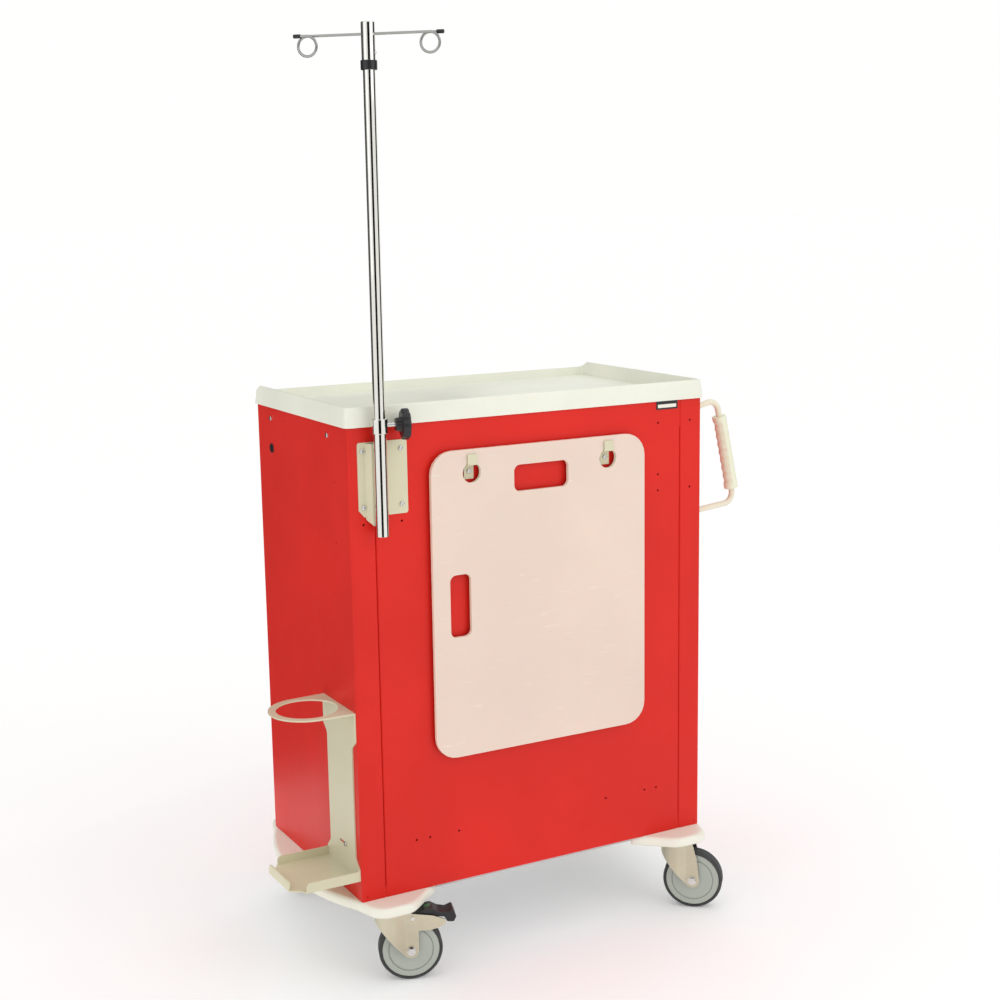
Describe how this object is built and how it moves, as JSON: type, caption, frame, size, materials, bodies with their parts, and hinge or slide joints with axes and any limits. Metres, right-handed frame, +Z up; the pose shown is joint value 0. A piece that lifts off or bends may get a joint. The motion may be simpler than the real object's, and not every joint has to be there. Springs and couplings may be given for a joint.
{
  "type": "crash cart",
  "caption": "Steel drawer cabinet on swivel casters with a top tray, corner bumpers, a push handle, an intravenous pole, an oxygen cylinder bracket and a hanging cardiac board.",
  "frame": {"origin": "on the ground, under the middle of the whole cart's width and depth", "axes": "+Z up; +X towards the end with the oxygen bracket and the pole; +Y towards the side the board hangs on; the drawers open towards -Y"},
  "size_m": [1.0636, 0.6426, 1.83],
  "materials": {
    "red_paint": "satin",
    "white_plastic": "satin",
    "cream_plastic": "satin",
    "beige_paint": "satin",
    "cream_paint": "satin",
    "grey_paint": "satin",
    "zinc_steel": "plated",
    "bright_steel": "bright",
    "chrome": "polished",
    "black_plastic": "satin",
    "wheel_plastic": "satin",
    "tyre_rubber": "matt",
    "board_plastic": "satin"
  },
  "bodies": {
    "cabinet": {"side_panel_left": "red_paint", "side_panel_right": "red_paint", "back_panel": "red_paint", "base_pan": "red_paint", "top_frame": "red_paint", "top_tray": "white_plastic", "chassis": "grey_paint", "bumper_left": "cream_plastic", "bumper_right": "cream_plastic", "slide_rails": "bright_steel", "lock_plate": "bright_steel", "panel_screws": "bright_steel", "hole_plug": "black_plastic", "board_hooks": "beige_paint", "oxygen_bracket": "beige_paint", "handle_rod": "cream_paint", "handle_grip": "cream_plastic", "iv_bracket": "beige_paint", "pole_socket": "chrome", "clamp_collar": "chrome", "caster_plates": "zinc_steel", "caster_bolts": "bright_steel", "label_plate": "black_plastic"},
    "drawer_1": {"drawer_front_1": "red_paint", "drawer_box_1": "grey_paint"},
    "drawer_2": {"drawer_front_2": "red_paint", "drawer_box_2": "grey_paint"},
    "drawer_3": {"drawer_front_3": "red_paint", "drawer_box_3": "grey_paint"},
    "drawer_4": {"drawer_front_4": "red_paint", "drawer_box_4": "grey_paint"},
    "drawer_5": {"drawer_front_5": "red_paint", "drawer_box_5": "grey_paint"},
    "lock": {"lock_handle": "black_plastic"},
    "board": {"cardiac_board": "board_plastic"},
    "clamp": {"clamp_knob": "black_plastic", "clamp_stud": "bright_steel"},
    "pole": {"iv_pole": "chrome", "hook_head": "chrome", "head_ring": "black_plastic", "hook_rod": "chrome", "hook_tips": "black_plastic"},
    "button": {"snap_button": "chrome"},
    "swivel_1": {"fork_1": "zinc_steel", "axle_1": "bright_steel"},
    "roller_1": {"wheel_1": "wheel_plastic", "tyre_1": "tyre_rubber"},
    "swivel_2": {"fork_2": "zinc_steel", "axle_2": "bright_steel"},
    "roller_2": {"wheel_2": "wheel_plastic", "tyre_2": "tyre_rubber"},
    "swivel_3": {"fork_3": "zinc_steel", "axle_3": "bright_steel"},
    "roller_3": {"wheel_3": "wheel_plastic", "tyre_3": "tyre_rubber"},
    "swivel_4": {"fork_4": "zinc_steel", "axle_4": "bright_steel"},
    "roller_4": {"wheel_4": "wheel_plastic", "tyre_4": "tyre_rubber"},
    "brake": {"pedal_1": "black_plastic"}
  },
  "joints": [
    {"name": "drawer_1_slide", "type": "slide", "parent": "cabinet", "child": "drawer_1", "axis": [0, -1, 0], "range_m": [0, 0.3]},
    {"name": "drawer_2_slide", "type": "slide", "parent": "cabinet", "child": "drawer_2", "axis": [0, -1, 0], "range_m": [0, 0.3]},
    {"name": "drawer_3_slide", "type": "slide", "parent": "cabinet", "child": "drawer_3", "axis": [0, -1, 0], "range_m": [0, 0.3]},
    {"name": "drawer_4_slide", "type": "slide", "parent": "cabinet", "child": "drawer_4", "axis": [0, -1, 0], "range_m": [0, 0.3]},
    {"name": "drawer_5_slide", "type": "slide", "parent": "cabinet", "child": "drawer_5", "axis": [0, -1, 0], "range_m": [0, 0.3]},
    {"name": "lock_turn", "type": "hinge", "parent": "cabinet", "child": "lock", "pos_m": [0.28879, -0.26907, 1.075], "axis": [0, -1, 0], "range_deg": [0, 90]},
    {"name": "board_lift", "type": "slide", "parent": "cabinet", "child": "board", "axis": [0, 0, 1], "range_m": [0, 0.024]},
    {"name": "clamp_turn", "type": "hinge", "parent": "cabinet", "child": "clamp", "pos_m": [0.33579, 0.22953, 1.11], "axis": [-0.9703, 0.2419, 0], "range_deg": [-360, 180]},
    {"name": "pole_slide", "type": "slide", "parent": "cabinet", "child": "pole", "axis": [0, 0, 1], "range_m": [-0.61, 0.14]},
    {"name": "button_press", "type": "slide", "parent": "pole", "child": "button", "axis": [0.7385, -0.6743, 0], "range_m": [0, 0.0025], "stiffness_N_per_m": 800},
    {"name": "swivel_1_turn", "type": "hinge", "parent": "cabinet", "child": "swivel_1", "pos_m": [0.32979, 0.20473, 0.14], "axis": [0, 0, 1], "continuous": true},
    {"name": "roller_1_turn", "type": "hinge", "parent": "swivel_1", "child": "roller_1", "pos_m": [0.29596, 0.21704, 0.0635], "axis": [-0.342, -0.9397, 0], "continuous": true},
    {"name": "swivel_2_turn", "type": "hinge", "parent": "cabinet", "child": "swivel_2", "pos_m": [-0.35221, 0.20473, 0.14], "axis": [0, 0, 1], "continuous": true},
    {"name": "roller_2_turn", "type": "hinge", "parent": "swivel_2", "child": "roller_2", "pos_m": [-0.37921, 0.22854, 0.0635], "axis": [-0.6613, -0.7501, 0], "continuous": true},
    {"name": "swivel_3_turn", "type": "hinge", "parent": "cabinet", "child": "swivel_3", "pos_m": [-0.35221, -0.27127, 0.14], "axis": [0, 0, 1], "continuous": true},
    {"name": "roller_3_turn", "type": "hinge", "parent": "swivel_3", "child": "roller_3", "pos_m": [-0.38786, -0.26626, 0.0635], "axis": [-0.1392, -0.9903, 0], "continuous": true},
    {"name": "swivel_4_turn", "type": "hinge", "parent": "cabinet", "child": "swivel_4", "pos_m": [0.32979, -0.27127, 0.14], "axis": [0, 0, 1], "continuous": true},
    {"name": "roller_4_turn", "type": "hinge", "parent": "swivel_4", "child": "roller_4", "pos_m": [0.29596, -0.28358, 0.0635], "axis": [0.342, -0.9397, 0], "continuous": true},
    {"name": "brake_press", "type": "hinge", "parent": "swivel_1", "child": "brake", "pos_m": [0.2922, 0.21841, 0.1315], "axis": [-0.342, -0.9397, 0], "range_deg": [0, 12]}
  ]
}
